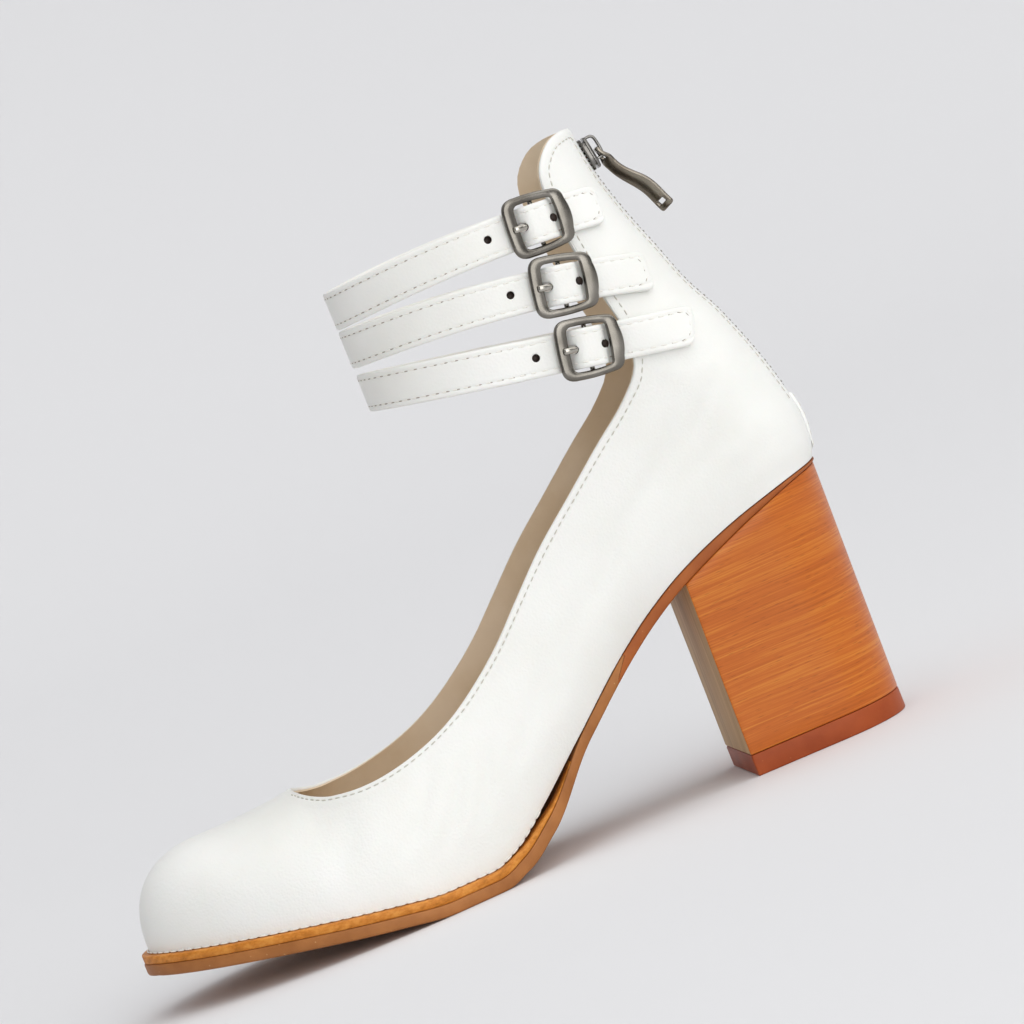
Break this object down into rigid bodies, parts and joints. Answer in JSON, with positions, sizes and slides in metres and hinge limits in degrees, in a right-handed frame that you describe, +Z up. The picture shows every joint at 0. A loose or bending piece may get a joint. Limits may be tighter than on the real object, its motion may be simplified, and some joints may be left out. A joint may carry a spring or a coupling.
{
  "type": "ankle strap pump",
  "caption": "White closed-toe pump with a wood-look block heel, high back quarters with a back zip, and buckled straps over the ankle.",
  "frame": {"origin": "centre of the top lift's underside, on the floor", "axes": "+X from the toe to the heel, +Y to the inner side of the foot, +Z up"},
  "size_m": [0.2397, 0.082, 0.1941],
  "materials": {
    "upper_leather": "fine-grained matte white",
    "strap_leather": "fine-grained matte white",
    "lining": "smooth nude lining",
    "welt_leather": "waxed tan edge",
    "outsole_rubber": "satin brown",
    "seat_sole_leather": "waxed brown edge",
    "heel_wood": "lacquered orange grain",
    "top_lift_rubber": "satin brown",
    "buckle_metal": "antique pewter, brushed",
    "zip_metal": "antique nickel"
  },
  "bodies": {
    "shoe": {"upper": "upper_leather", "insole": "lining", "welt": "welt_leather", "outsole": "outsole_rubber", "seat_sole": "seat_sole_leather", "heel_block": "heel_wood", "top_lift": "top_lift_rubber", "back_strip": "upper_leather", "zip_chain": "zip_metal", "zip_slider": "zip_metal", "strap_top": "strap_leather", "buckle_frame_top": "buckle_metal", "buckle_prong_top": "buckle_metal", "buckle_tab_top": "strap_leather", "strap_middle": "strap_leather", "buckle_frame_middle": "buckle_metal", "buckle_prong_middle": "buckle_metal", "buckle_tab_middle": "strap_leather", "strap_bottom": "strap_leather", "buckle_frame_bottom": "buckle_metal", "buckle_prong_bottom": "buckle_metal", "buckle_tab_bottom": "strap_leather"},
    "zip_pull": {"zip_pull": "zip_metal"}
  },
  "joints": [
    {"name": "pull_swing", "type": "hinge", "parent": "shoe", "child": "zip_pull", "pos_m": [0.00351, 0, 0.18515], "axis": [0, -1, 0], "range_deg": [-14, 110]}
  ]
}
